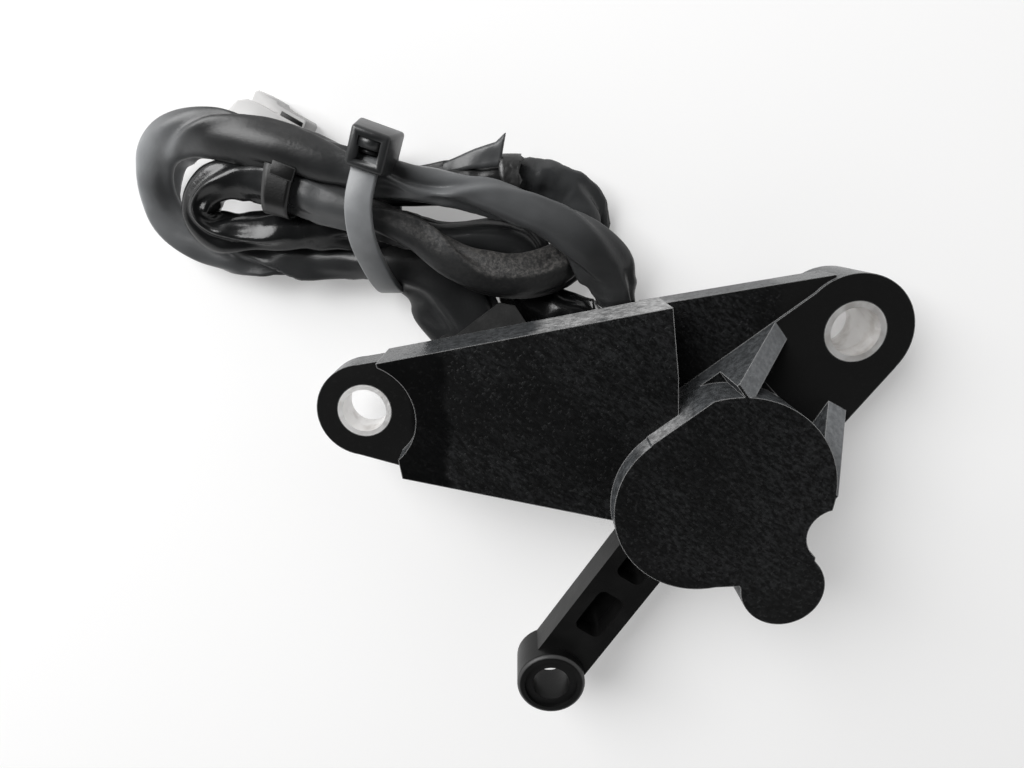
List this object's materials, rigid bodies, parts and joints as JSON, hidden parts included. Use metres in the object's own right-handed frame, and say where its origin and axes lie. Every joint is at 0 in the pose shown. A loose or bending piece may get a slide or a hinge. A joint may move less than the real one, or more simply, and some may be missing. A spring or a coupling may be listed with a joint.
{
  "type": "trim sender",
  "caption": "Angle sender for a tilting drive: moulded housing with bolt ears and a round sensor cup, a sprung lever behind it, and a sheathed lead tied in a hank with a grey connector.",
  "frame": {"origin": "axis of the right bolt hole, where its boss meets the mounting surface", "axes": "+Z along the bolt from the mounting surface to the cup's face, +X along the plate towards the right ear, +Y towards the lead"},
  "size_m": [0.1078, 0.0946, 0.0204],
  "materials": {
    "housing_black": "satin moulded glass-filled plastic with fine flow grain",
    "lever_black": "smooth satin moulded plastic",
    "collar_steel": "dull zinc-plated, scratched",
    "bush_black": "satin, moulded",
    "seal_rubber": "matte",
    "board_brown": "matte laminate",
    "contact_brass": "plain",
    "wire_cover": "satin",
    "resin_black": "poured, glossy",
    "spring_steel": "plain",
    "sheath_black": "soft satin, dusty",
    "tie_black": "satin",
    "connector_grey": "satin"
  },
  "bodies": {
    "base": {"housing": "housing_black", "right_collar": "collar_steel", "left_collar": "collar_steel", "bearing_plate": "lever_black", "shaft_seal": "seal_rubber", "element_board": "board_brown", "element_terminals": "contact_brass", "lead_wires": "wire_cover", "potting_resin": "resin_black", "return_spring": "spring_steel", "cable_boot": "sheath_black", "cable_tail": "sheath_black", "cable_hank": "sheath_black", "cable_tie": "tie_black", "sheath_clip": "tie_black", "tape_wrap": "sheath_black", "connector_body": "connector_grey", "connector_lock": "connector_grey", "connector_terminals": "contact_brass", "wire_seal": "seal_rubber"},
    "lever_arm": {"lever": "lever_black", "lever_bush": "bush_black", "rotor_shaft": "spring_steel", "shaft_clip": "spring_steel", "wiper_carrier": "board_brown", "wiper_contacts": "contact_brass"}
  },
  "joints": [
    {"name": "lever_pivot", "type": "hinge", "parent": "base", "child": "lever_arm", "pos_m": [-0.0184, -0.0202, 0.009], "axis": [0, 0, 1], "range_deg": [0, 80], "stiffness_Nm_per_rad": 0.02, "springref_deg": -20.05}
  ]
}
